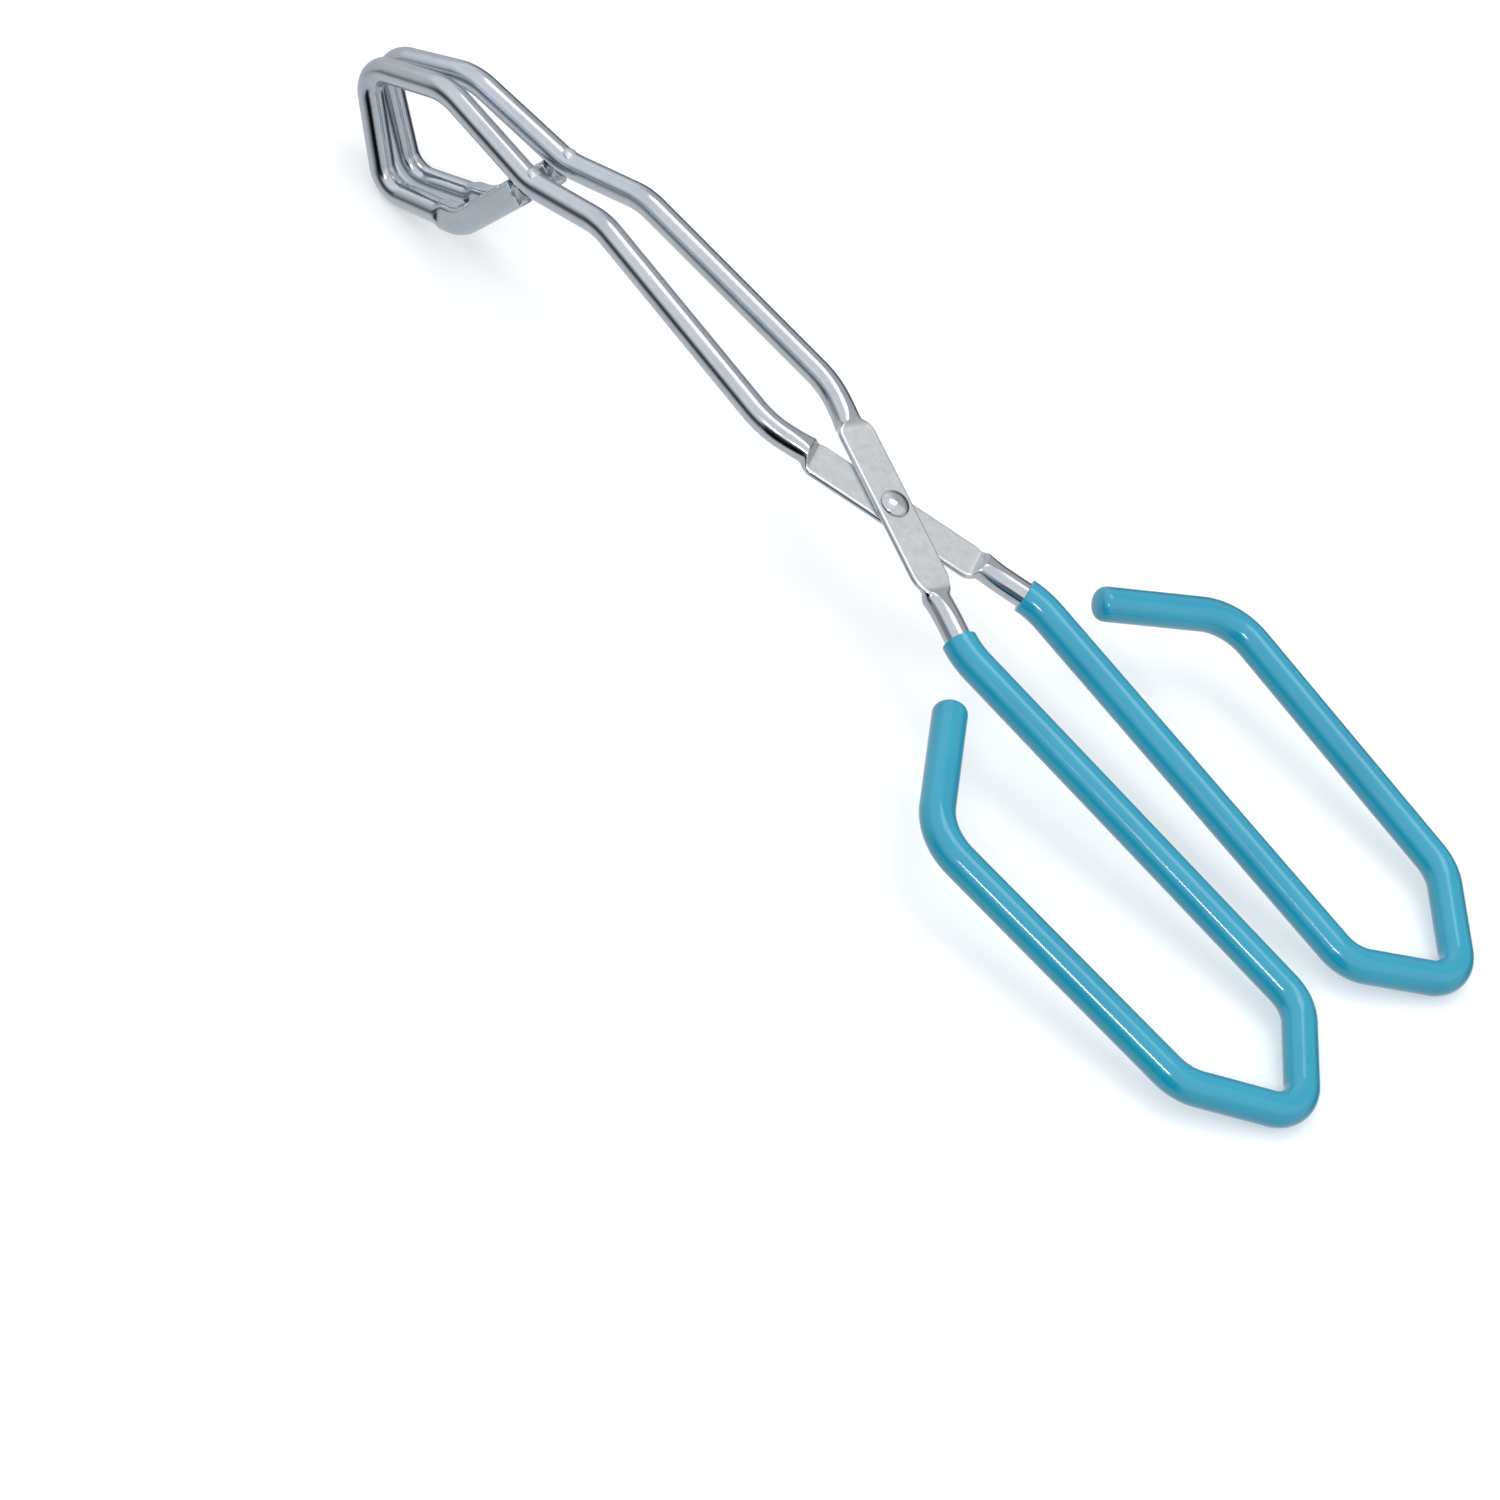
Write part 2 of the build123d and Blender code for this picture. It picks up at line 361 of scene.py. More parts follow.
    def follow(self, corners: list[Vector], radii: list[float]) -> None:
        """Draws the tube through rounded corners to a last point.

        Args:
            corners: The corners, then the last point.
            radii: One bend radius for each corner, in millimetres.
        """
        for corner, after, radius in zip(corners, corners[1:], radii):
            heading = (after - corner).normalized()
            setback = radius * MM * math.tan(self.heading.angle(heading) / 2)
            self.draw((corner - self.at).length - setback)
            self.bend(heading, radius * MM)
        self.draw((corners[-1] - self.at).length)

    def point(self) -> None:
        """Draws the last ring on a little and merges it in one point."""
        self.draw(POINT_DRAW * MM)
        bpy.ops.mesh.merge(type="CENTER")

    def seal(self) -> None:
        """Closes the selected ring with a flat face."""
        bpy.ops.mesh.edge_face_add()

    def finish(self, sharp: float = 38.0) -> Piece:
        """Closes what is open, turns the faces outwards and smooths the piece.

        Args:
            sharp: Edges sharper than this many degrees stay crisp.

        Returns:
            The finished piece.
        """
        bpy.ops.mesh.select_all(action="DESELECT")
        bpy.ops.mesh.select_non_manifold(extend=False, use_wire=False)
        mesh = bmesh.from_edit_mesh(self.piece.data)
        if any(v.select for v in mesh.verts):
            bpy.ops.mesh.edge_face_add()
        bpy.ops.mesh.select_all(action="SELECT")
        bpy.ops.mesh.normals_make_consistent(inside=False)
        bpy.ops.object.mode_set(mode="OBJECT")
        pick(self.piece)
        bpy.ops.object.shade_smooth_by_angle(angle=math.radians(sharp))
        return self.piece


class Board:
    """A tree of shader nodes in the making."""

    def __init__(self, tree: bpy.types.NodeTree):
        """Takes up a tree.

        Args:
            tree: The tree.
        """
        self.nodes = tree.nodes
        self.links = tree.links

    def ramp(
        self, value: Socket, low: float, high: float, start: float = 0.0, end: float = 1.0
    ) -> Socket:
        """A value carried smoothly from one range to another.

        Args:
            value: The value.
            low: The value that gives start.
            high: The value that gives end.
            start: The result at low.
            end: The result at high.

        Returns:
            The socket that holds the result.
        """
        node = self.nodes.new("ShaderNodeMapRange")
        node.interpolation_type = "SMOOTHSTEP"
        ends = {"From Min": low, "From Max": high, "To Min": start, "To Max": end}
        for key, number in ends.items():
            node.inputs[key].default_value = number
        self.links.new(value, node.inputs["Value"])
        return node.outputs["Result"]

    def combine(self, operation: str, first: Socket, second: float | Socket) -> Socket:
        """One step of arithmetic.

        Args:
            operation: The step's name.
            first: The first number.
            second: The second number, or a socket that holds it.

        Returns:
            The socket that holds the result.
        """
        node = self.nodes.new("ShaderNodeMath")
        node.operation = operation
        self.links.new(first, node.inputs[0])
        if isinstance(second, Socket):
            self.links.new(second, node.inputs[1])
        else:
            node.inputs[1].default_value = second
        return node.outputs[0]


class Bench(Board):
    """A material's nodes in the making."""

    def __init__(self, name: str):
        """Starts an empty material.

        Args:
            name: The material's name.
        """
        self.material = bpy.data.materials.new(name)
        self.material.use_nodes = True
        super().__init__(self.material.node_tree)
        self.nodes.clear()
        self.shader = self.nodes.new("ShaderNodeBsdfPrincipled")
        output = self.nodes.new("ShaderNodeOutputMaterial")
        self.links.new(self.shader.outputs["BSDF"], output.inputs["Surface"])

    def place(self, drawn: bool) -> Socket:
        """Where the pattern is read from.

        Args:
            drawn: True for the place on the straight tube, False for the place on the object.

        Returns:
            The socket that holds the place.
        """
        if drawn:
            node = self.nodes.new("ShaderNodeAttribute")
            node.attribute_name = "drawn"
            return node.outputs["Vector"]
        return self.nodes.new("ShaderNodeTexCoord").outputs["Object"]

    def noise(
        self, place: Socket, scale: float | Triple, detail: float, rough: float, turn: float = 0.0
    ) -> Socket:
        """A soft noise.

        Args:
            place: Where it is read.
            scale: How fine it is, per metre, in all or along each axis.
            detail: How many finer layers it has.
            rough: How strong the finer layers are.
            turn: How far its axes are turned about Z, in degrees.

        Returns:
            The socket that holds its value.
        """
        node = self.nodes.new("ShaderNodeTexNoise")
        if isinstance(scale, tuple):
            mapping = self.nodes.new("ShaderNodeMapping")
            mapping.inputs["Scale"].default_value = scale
            mapping.inputs["Rotation"].default_value = (0.0, 0.0, math.radians(turn))
            self.links.new(place, mapping.inputs["Vector"])
            place, scale = mapping.outputs["Vector"], 1.0
        node.inputs["Scale"].default_value = scale
        node.inputs["Detail"].default_value = detail
        node.inputs["Roughness"].default_value = rough
        self.links.new(place, node.inputs["Vector"])
        return node.outputs["Fac"]

    def blend(self, factor: Socket, first: Triple | Socket, second: Triple) -> Socket:
        """A colour between two colours.

        Args:
            factor: 0 for the first, 1 for the second.
            first: The first colour, or a socket that holds it.
            second: The second colour.

        Returns:
            The socket that holds the colour.
        """
        node = self.nodes.new("ShaderNodeMix")
        node.data_type = "RGBA"
        self.links.new(factor, node.inputs["Factor"])
        if isinstance(first, tuple):
            node.inputs[6].default_value = (*first, 1.0)
        else:
            self.links.new(first, node.inputs[6])
        node.inputs[7].default_value = (*second, 1.0)
        return node.outputs[2]

    def bump(
        self, height: Socket, depth: float, strength: float, under: Socket | None = None
    ) -> Socket:
        """A relief on the surface.

        Args:
            height: The relief's height.
            depth: How deep it is, in metres.
            strength: How much of it shows.
            under: A coarser relief that it lies on.

        Returns:
            The socket that holds the normal.
        """
        node = self.nodes.new("ShaderNodeBump")
        node.inputs["Distance"].default_value = depth
        node.inputs["Strength"].default_value = strength
        self.links.new(height, node.inputs["Height"])
        if under is not None:
            self.links.new(under, node.inputs["Normal"])
        return node.outputs["Normal"]

    def feed(self, key: str, socket: Socket) -> None:
        """Leads a socket into the shader."""
        self.links.new(socket, self.shader.inputs[key])

    def set(self, key: str, value: float | tuple[float, ...]) -> None:
        """Sets one of the shader's own sockets."""
        self.shader.inputs[key].default_value = value


@dataclass(frozen=True)
class PolishedTube:
    """Stainless tube as drawn and polished: clear reflections, faint lines along its length."""

    name: str = "polished_tube"
    bright: Triple = (0.535, 0.575, 0.62)
    dull: Triple = (0.47, 0.51, 0.56)
    drawn: bool = True
    roughness: Pair = (0.10, 0.17)
    wave_depth: float = 0.00004
    line_depth: float = 0.00003

    def build(self) -> Material:
        """Makes the material."""
        bench = Bench(self.name)
        place = bench.place(self.drawn)
        lines = bench.noise(place, (2600.0, 2600.0, 22.0), 4.0, 0.6)
        handling = bench.ramp(bench.noise(place, 140.0, 5.0, 0.62), 0.35, 0.7)
        bench.set("Metallic", 1.0)
        bench.feed("Base Color", bench.blend(handling, self.bright, self.dull))
        bench.feed("Roughness", bench.ramp(lines, 0.3, 0.7, *self.roughness))
        waves = bench.bump(bench.noise(place, 900.0, 3.0, 0.5), self.wave_depth, 0.10)
        bench.feed("Normal", bench.bump(lines, self.line_depth, 0.09, waves))
        return bench.material


@dataclass(frozen=True)
class PressedPlate:
    """Tube pressed flat: a pale satin face with fine scratches, polished where it turns round."""

    name: str = "pressed_plate"
    bright: Triple = (0.83, 0.845, 0.855)
    dull: Triple = (0.72, 0.735, 0.75)
    round_steel: Triple = (0.52, 0.55, 0.585)
    middle: float = 0.02925
    satin_half: float = 0.0209
    polish_half: float = 0.0223
    satin_width: float = 0.0042
    polish_width: float = 0.0046
    roughness: Pair = (0.27, 0.40)
    polish_share: float = 0.34
    mark_depth: float = 0.00006
    grain_depth: float = 0.00003
    scratch_depth: float = 0.00003

    def build(self) -> Material:
        """Makes the material."""
        bench = Bench(self.name)
        place = bench.place(True)
        axes = bench.nodes.new("ShaderNodeSeparateXYZ")
        bench.links.new(place, axes.inputs["Vector"])
        reach = bench.combine("SUBTRACT", axes.outputs["Z"], self.middle)
        reach = bench.combine("ABSOLUTE", reach, 0.0)
        spread = bench.combine("ABSOLUTE", axes.outputs["X"], 0.0)
        ends = bench.ramp(reach, self.satin_half, self.polish_half)
        edges = bench.ramp(spread, self.satin_width, self.polish_width)
        polish = bench.combine("MAXIMUM", ends, edges)
        grain = bench.noise(place, (5200.0, 5200.0, 900.0), 5.0, 0.65)
        marks = bench.noise(place, 420.0, 4.0, 0.6)
        scratches = bench.noise(place, (700.0, 700.0, 6500.0), 2.0, 0.5, 24.0)
        scratches = bench.ramp(scratches, 0.66, 0.74)
        bench.set("Metallic", 1.0)
        satin = bench.blend(bench.ramp(marks, 0.3, 0.75), self.bright, self.dull)
        bench.feed("Base Color", bench.blend(polish, satin, self.round_steel))
        rough = bench.ramp(grain, 0.25, 0.75, *self.roughness)
        lost = bench.combine("MULTIPLY", polish, self.polish_share - 1.0)
        kept = bench.combine("ADD", lost, 1.0)
        bench.feed("Roughness", bench.combine("MULTIPLY", rough, kept))
        wide = bench.bump(marks, self.mark_depth, 0.12)
        fine = bench.bump(grain, self.grain_depth, 0.16, wide)
        bench.feed("Normal", bench.bump(scratches, self.scratch_depth, 0.15, fine))
        return bench.material


@dataclass(frozen=True)
class WorkedSteel:
    """Steel worked in one place, with small ripples or nicks."""

    name: str
    drawn: bool
    bright: Triple
    dull: Triple
    fineness: float
    dull_from: float
    roughness: Pair
    depth: float
    strength: float

    def build(self) -> Material:
        """Makes the material."""
        bench = Bench(self.name)
        nicks = bench.noise(bench.place(self.drawn), self.fineness, 4.0, 0.6)
        tint = bench.ramp(nicks, self.dull_from, 0.7)
        bench.set("Metallic", 1.0)
        bench.feed("Base Color", bench.blend(tint, self.bright, self.dull))
        bench.feed("Roughness", bench.ramp(nicks, 0.3, 0.7, *self.roughness))
        bench.feed("Normal", bench.bump(nicks, self.depth, self.strength))
        return bench.material


# Weld metal is rougher than the tube; the rivet's head was polished by its snap.
WELD_STEEL = WorkedSteel(
    name="weld_steel",
    drawn=False,
    bright=(0.66, 0.685, 0.71),
    dull=(0.48, 0.50, 0.53),
    fineness=900.0,
    dull_from=0.35,
    roughness=(0.34, 0.50),
    depth=0.00008,
    strength=0.25,
)
RIVET_STEEL = WorkedSteel(
    name="rivet_steel",
    drawn=True,
    bright=(0.58, 0.60, 0.63),
    dull=(0.48, 0.50, 0.53),
    fineness=1500.0,
    dull_from=0.4,
    roughness=(0.10, 0.20),
    depth=0.00003,
    strength=0.18,
)


@dataclass(frozen=True)
class DippedVinyl:
    """Dipped vinyl: glossy turquoise with a slow ripple, fine dimples and a few scuffs."""

    name: str = "dipped_vinyl"
    body: Triple = (0.011, 0.335, 0.500)
    deep: Triple = (0.008, 0.300, 0.460)
    scuff: Triple = (0.10, 0.36, 0.45)
    scuff_share: float = 0.55
    roughness: Pair = (0.13, 0.30)
    ripple_depth: float = 0.0005
    dimple_depth: float = 0.00003

    def build(self) -> Material:
        """Makes the material."""
        bench = Bench(self.name)
        place = bench.place(True)
        slow = bench.noise(place, (110.0, 110.0, 45.0), 2.0, 0.45)
        dimples = bench.noise(place, 1700.0, 2.0, 0.45)
        rubs = bench.noise(place, (420.0, 420.0, 120.0), 6.0, 0.72)
        rubbed = bench.ramp(rubs, 0.665, 0.76, 0.0, self.scuff_share)
        ground = bench.blend(bench.ramp(slow, 0.3, 0.7), self.body, self.deep)
        bench.feed("Base Color", bench.blend(rubbed, ground, self.scuff))
        bench.set("Specular IOR Level", 0.5)
        bench.set("IOR", 1.5)
        bench.set("Coat Weight", 0.6)
        bench.set("Coat Roughness", 0.08)
        bench.feed("Roughness", bench.ramp(rubs, 0.45, 0.78, *self.roughness))
        ripple = bench.bump(slow, self.ripple_depth, 0.16)
        bench.feed("Normal", bench.bump(dimples, self.dimple_depth, 0.12, ripple))
        return bench.material


@dataclass(frozen=True)
class TableTop:
    """The pale table that the tongs lie on, which glows a little to stay white."""

    name: str = "table_top"
    light: Triple = (0.74, 0.745, 0.75)
    shade: Triple = (0.72, 0.725, 0.735)
    glow: Triple = (0.98, 0.99, 1.0)
    glow_strength: float = 0.34

    def build(self) -> Material:
        """Makes the material."""
        bench = Bench(self.name)
        cloud = bench.ramp(bench.noise(bench.place(False), 6.0, 3.0, 0.5), 0.3, 0.7)
        bench.feed("Base Color", bench.blend(cloud, self.light, self.shade))
        bench.set("Roughness", 0.75)
        bench.set("Specular IOR Level", 0.2)
        bench.set("Emission Color", (*self.glow, 1.0))
        bench.set("Emission Strength", self.glow_strength)
        return bench.material


def hand_over(piece: Piece, material: Material, body: str, node: str) -> None:
    """Dresses a finished piece and puts it on its body in place of one of the frame's nodes.

    Args:
        piece: The finished piece.
        material: Its finish.
        body: The body it rides on.
        node: The node it stands for.
    """
    piece.data.materials.clear()
    piece.data.materials.append(material)
    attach(piece, body)
    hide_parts(node)
    log.info("%s on %s, %d faces", piece.name, body, len(piece.data.polygons))


class Finishes:
    """Every finish of the tongs, made once."""

    def __init__(self):
        """Makes the finishes."""
        self.tube = PolishedTube().build()
        self.plate = PressedPlate().build()
        self.weld = WELD_STEEL.build()
        self.rivet = RIVET_STEEL.build()
        self.vinyl = DippedVinyl().build()
        self.hidden = PolishedTube(name="covered_tube", drawn=False).build()


# The tongue's outlines from the round tube to the flat: each one's distance past the plate's
# end, width, and outer and inner reach, in millimetres.
TONGUE = (
    (8.0, 6.00, 3.00, 3.00), (7.0, 6.00, 2.98, 3.00), (6.0, 6.00, 2.92, 3.00),
    (5.0, 6.00, 2.81, 3.00), (4.0, 6.02, 2.65, 3.00), (3.2, 6.06, 2.49, 3.00),
    (2.6, 6.12, 2.36, 2.99), (2.2, 6.20, 2.27, 2.97), (1.85, 6.32, 2.18, 2.90),
    (1.60, 6.48, 2.12, 2.70), (1.35, 6.72, 2.06, 2.30), (1.05, 7.08, 1.98, 1.70),
    (0.75, 7.52, 1.89, 1.10), (0.45, 8.00, 1.80, 0.55), (0.20, 8.38, 1.73, 0.20),
    (-0.05, 8.72, 1.67, 0.04), (-0.40, 9.10, 1.60, -0.01), (-0.90, 9.45, 1.55, -0.025),
)


@dataclass
class Crossing:
    """Where the halves cross: each half's tube pressed flat, with a tongue into the round tube."""

    plane: ScissorFrame
    half_angle: float = 20.2
    jaw_length: float = 20.5
    handle_length: float = 22.0
    tongue: float = 8.0
    flat_start: float = -1.6
    width: float = 9.6
    outer_face: float = 1.525
    inner_face: float = -0.025
    edge_round: float = 0.62
    shoulder_start: float = -3.7
    shoulder_end: float = 3.1
    shoulder_steps: Pair = (-2.3, -3.0)
    hole_radius: float = 2.05
    drill_length: float = 8.0
    flat_reach: float = 3.075
    crease: float = 27.0

    def along(self, side: Side, reach: float) -> Vector:
        """A point of a half's straight middle run.

        Args:
            side: The side that the run's jaw end points to.
            reach: How far from the rivet, in millimetres, towards the jaws.

        Returns:
            The point.
        """
        angle = math.radians(self.half_angle)
        return self.plane.at(reach * math.cos(angle), side.value * reach * math.sin(angle))

    def long_shoulder(self, steps: list[Step]) -> list[Step]:
        """The same tongue drawn in gradually, as the upper half's is towards its handle.

        Args:
            steps: The tongue's outlines.

        Returns:
            The outlines with new widths, from the round tube to further along the flat.
        """
        further = (*self.shoulder_steps, self.shoulder_start)
        flat = [(reach, 0.0, self.outer_face, self.inner_face) for reach in further]
        span = self.shoulder_end - self.shoulder_start
        tube = 2 * TUBE_RADIUS
        drawn = []
        for reach, _, outer, inner in steps + flat:
            share = min(max((self.shoulder_end - reach) / span, 0.0), 1.0)
            drawn.append((reach, tube + (self.width - tube) * ease(share), outer, inner))
        return drawn

    def section(self, level: Level, width: float, outer: float, inner: float) -> Section:
        """One outline of the tongue, on the half's own side of the mating plane.

        Args:
            level: Which half.
            width: The outline's width.
            outer: Its reach away from the other half.
            inner: Its reach towards the other half.

        Returns:
            The outline.
        """
        height = outer + inner
        tube = 2 * TUBE_RADIUS
        plate = self.outer_face + self.inner_face
        squash = min(max((tube - height) / (tube - plate), 0.0), 1.0)
        corner = (1 - squash) * height / 2 + squash * self.edge_round
        above, below = (outer, inner) if level is Level.UPPER else (inner, outer)
        return Section(width, above, below, corner)

    def build(self, level: Level) -> Piece:
        """Presses one half's plate, from the jaw's tongue to the handle's.

        Args:
            level: Which half.

        Returns:
            The finished plate.
        """
        side = level.jaw_side
        start = self.along(side, self.jaw_length + self.tongue)
        heading = self.plane.pivot - start
        across = self.plane.normal.cross(heading)
        steps = [*TONGUE, (self.flat_start, self.width, self.outer_face, self.inner_face)]
        work = TubeWork(f"{level.word}_crossing_plate", start, heading, across, TUBE)
        for before, after in zip(steps, steps[1:]):
            work.press(before[0] - after[0], self.section(level, *after[1:]))
        flat = self.section(level, *steps[-1][1:])
        run = self.jaw_length + self.handle_length + steps[-1][0]
        if level is Level.UPPER:
            steps = self.long_shoulder(steps)
        work.press(run + steps[-1][0], flat)
        for before, after in zip(steps[::-1], steps[-2::-1]):
            work.press(after[0] - before[0], self.section(level, *after[1:]))
        plate = work.finish(self.crease)
        self.drill(plate)
        return plate

    def drill(self, plate: Piece) -> None:
        """Drills the rivet's hole, and marks its edge as part of the flat.

        Args:
            plate: The plate.
        """
        turn = self.plane.normal.to_track_quat("Z", "Y").to_euler()
        bpy.ops.object.select_all(action="DESELECT")
        bpy.ops.mesh.primitive_cylinder_add(
            vertices=RING,
            radius=self.hole_radius * MM,
            depth=self.drill_length * MM,
            location=self.plane.pivot,
            rotation=turn,
        )
        drill = bpy.context.object
        pick(plate)
        cut = plate.modifiers.new("rivet_hole", "BOOLEAN")
        cut.operation = "DIFFERENCE"
        cut.solver = "EXACT"
        cut.object = drill
        bpy.ops.object.modifier_apply(modifier=cut.name)
        bpy.data.objects.remove(drill, do_unlink=True)
        drawn = plate.data.attributes["drawn"].data
        reach = self.flat_reach * MM
        for vert, place in zip(plate.data.vertices, drawn):
            if (vert.co - self.plane.pivot).length < reach:
                place.vector = (0.0, 0.0, (self.jaw_length + self.tongue) * MM)

    def dress(self, finishes: Finishes) -> None:
        """Makes and dresses both plates.

        Args:
            finishes: The tongs' finishes.
        """
        for level in Level:
            node = f"{level.word}_pivot_plate"
            hand_over(self.build(level), finishes.plate, level.body, node)


@dataclass
class Rivet:
    """The one rivet: a low dome on top, its shank, and the button formed underneath."""

    plane: ScissorFrame
    shank: float = 2.0
    seat: float = 1.575
    crease: float = 30.0
    head: Profile = (
        (0.00, 3.26), (0.06, 3.40), (0.20, 3.45), (0.34, 3.40), (0.52, 3.24), (0.74, 2.98),
        (0.96, 2.65), (1.18, 2.23), (1.36, 1.80), (1.50, 1.34), (1.60, 0.88), (1.65, 0.44),
    )
    button: Profile = (
        (0.00, 2.66), (0.08, 2.78), (0.28, 2.80), (0.52, 2.70), (0.74, 2.46), (0.88, 2.08),
        (0.95, 1.60), (0.98, 1.00), (0.99, 0.50),
    )

    def build(self) -> Piece:
        """Turns the rivet from the button to the head.

        Returns:
            The finished rivet.
        """
        rounds = [(-self.seat - z, radius) for z, radius in self.button[::-1]]
        rounds += [(-self.seat, self.shank), (self.seat, self.shank)]
        rounds += [(self.seat + z, radius) for z, radius in self.head]
        height, radius = rounds[0]
        start = self.plane.at(0.0, 0.0, height)
        first = Section.round(radius)
        work = TubeWork("rivet_dome", start, self.plane.normal, self.plane.left, first)
        work.seal()
        for level, radius in rounds[1:]:
            work.press(level - height, Section.round(radius))
            height = level
        work.point()
        return work.finish(self.crease)

    def dress(self, finishes: Finishes) -> None:
        """Makes and dresses the rivet.

        Args:
            finishes: The tongs' finishes.
        """
        hand_over(self.build(), finishes.rivet, "rivet", "rivet")


@dataclass
class Jaw:
    """One jaw: the arm, the upright five-sided loop, its flat-sided tail and its weld."""

    plane: ScissorFrame
    crossing: Crossing
    side: Side
    arm_bend: Pair = (32.9, 20.0)
    tip_spread: float = 2.94
    arm_end: Triple = (89.0, 0.0, 14.0)
    joint: Triple = (108.0, 9.1, 14.0)
    top: Triple = (137.4, 10.8, 14.0)
    tip: Triple = (157.7, 26.0, 6.5)
    heel: Triple = (137.0, 47.0, 7.0)
    turn_back: Triple = (116.6, 34.2, 10.0)
    tail_width: float = 4.6
    tail_height: float = 6.7
    tail_corner: float = 1.2
    tail_before_bend: float = 4.0
    tail_gap: float = 4.9
    press_shares: tuple[float, ...] = (0.15, 0.35, 0.6, 0.82, 0.95, 1.0)
    press_step: float = 0.5
    end_steps: Profile = ((0.10, 0.12), (0.06, 0.34))
    end_corner: float = 0.4
    collar_start: float = 0.3
    collar: Profile = (
        (0.0, 2.35), (0.35, 2.32), (0.35, 2.14), (0.5, 2.02), (0.6, 2.04), (0.5, 2.2),
        (0.4, 2.45), (0.6, 2.6),
    )
    bead_place: Pair = (0.6, 2.2)
    bead: Profile = (
        (0.0, 1.75), (0.45, 1.78), (0.3, 1.66), (0.22, 1.42), (0.16, 1.12), (0.1, 0.76),
        (0.05, 0.36),
    )
    weld_creases: Pair = (50.0, 60.0)

    def corner(self, spot: Triple) -> Vector:
        """One corner of the jaw, in the upright plane that its loop lies in.

        Args:
            spot: Its distance from the rivet, its depth and its bend's radius.

        Returns:
            The corner.
        """
        angle = math.radians(self.crossing.half_angle)
        bend_x = self.arm_bend[0] * math.cos(angle)
        bend_y = self.arm_bend[0] * math.sin(angle)
        fall = (bend_y - self.tip_spread) / (self.tip[0] - bend_x)
        spread = bend_y - (spot[0] - bend_x) * fall
        return self.plane.at(spot[0], self.side.value * spread, -spot[1])

    def split(self) -> Vector:
        """Where the arm's length of tube meets the loop's."""
        return (self.corner(self.arm_end) + self.corner(self.joint)) / 2

    def tail_start(self) -> Vector:
        """Where the round tube starts to be pressed flat-sided.

        Returns:
            The point, on the run from the heel.
        """
        heel = self.corner(self.heel)
        back = self.corner(self.turn_back)
        turn = (back - heel).angle(self.corner(self.joint) - back)
        setback = self.turn_back[2] * math.tan(turn / 2) + self.tail_before_bend
        return back + (heel - back).normalized() * (setback * MM)

    def build_arm(self) -> Piece:
        """Draws the arm from the crossing's tongue to the slope above the jaw.

        Returns:
            The finished arm.
        """
        start = self.crossing.along(self.side, self.crossing.jaw_length + self.crossing.tongue)
        bend = self.crossing.along(self.side, self.arm_bend[0])
        work = TubeWork(f"{self.side.word}_arm_tube", start, bend - start, self.plane.normal, TUBE)
        corners = [bend, self.corner(self.arm_end), self.split()]
        work.follow(corners, [self.arm_bend[1], self.arm_end[2]])
        return work.finish()

    def build_loop(self) -> Piece:
        """Draws the loop from the slope to the start of the tail.

        Returns:
            The finished loop.
        """
        start = self.split()
        spots = [self.joint, self.top, self.tip, self.heel]
        corners = [self.corner(spot) for spot in spots] + [self.tail_start()]
        name = f"{self.side.word}_loop_tube"
        work = TubeWork(name, start, corners[0] - start, self.plane.left, TUBE)
        work.follow(corners, [spot[2] for spot in spots])
        return work.finish()

    def build_tail(self) -> Piece:
        """Presses the tail flat-sided and bends it up to the arm.

        Returns:
            The finished tail.
        """
        start = self.tail_start()
        back = self.corner(self.turn_back)
        joint = self.corner(self.joint)
        level_way = (back - start).cross(joint - back)
        work = TubeWork(f"{self.side.word}_pressed_tail", start, back - start, level_way, TUBE)
        half_h = self.tail_height / 2
        sizes = (self.tail_width / 2, half_h, self.tail_corner)
        for share in self.press_shares:
            half_width, height, corner = (
                TUBE_RADIUS + (size - TUBE_RADIUS) * ease(share) for size in sizes
            )
            work.press(self.press_step, Section(2 * half_width, height, height, corner))
        end = joint + (back - joint).normalized() * (self.tail_gap * MM)
        work.follow([back, end], [self.turn_back[2]])
        for step, inset in self.end_steps:
            width = self.tail_width - 2 * inset
            corner = max(self.tail_corner - inset, self.end_corner)
            work.press(step, Section(width, half_h - inset, half_h - inset, corner))
        return work.finish()

    def build_weld(self) -> Piece:
        """Runs the weld stub from the tail's end up into the arm, with a collar of weld metal.

        Returns:
            The finished stub.
        """
        joint = self.corner(self.joint)
        back = self.corner(self.turn_back)
        rise = (joint - back).normalized()
        start = joint - rise * ((self.tail_gap + self.collar_start) * MM)
        name = f"{self.side.word}_weld_collar"
        first = Section.round(self.collar[0][1])
        work = TubeWork(name, start, rise, self.plane.left, first)
        work.press_rounds(self.collar[1:])
        return work.finish(self.weld_creases[0])

    def build_bead(self) -> Piece:
        """Sets the small bead that shows on top of the arm.

        Returns:
            The finished bead.
        """
        joint = self.corner(self.joint)
        along = (self.corner(self.top) - joint).normalized()
        rise = (self.plane.normal - along * self.plane.normal.dot(along)).normalized()
        start = joint + along * (self.bead_place[0] * MM) + rise * (self.bead_place[1] * MM)
        name = f"{self.side.word}_weld_bead_cap"
        first = Section.round(self.bead[0][1])
        work = TubeWork(name, start, rise, self.plane.left, first)
        work.press_rounds(self.bead[1:])
        work.point()
        return work.finish(self.weld_creases[1])

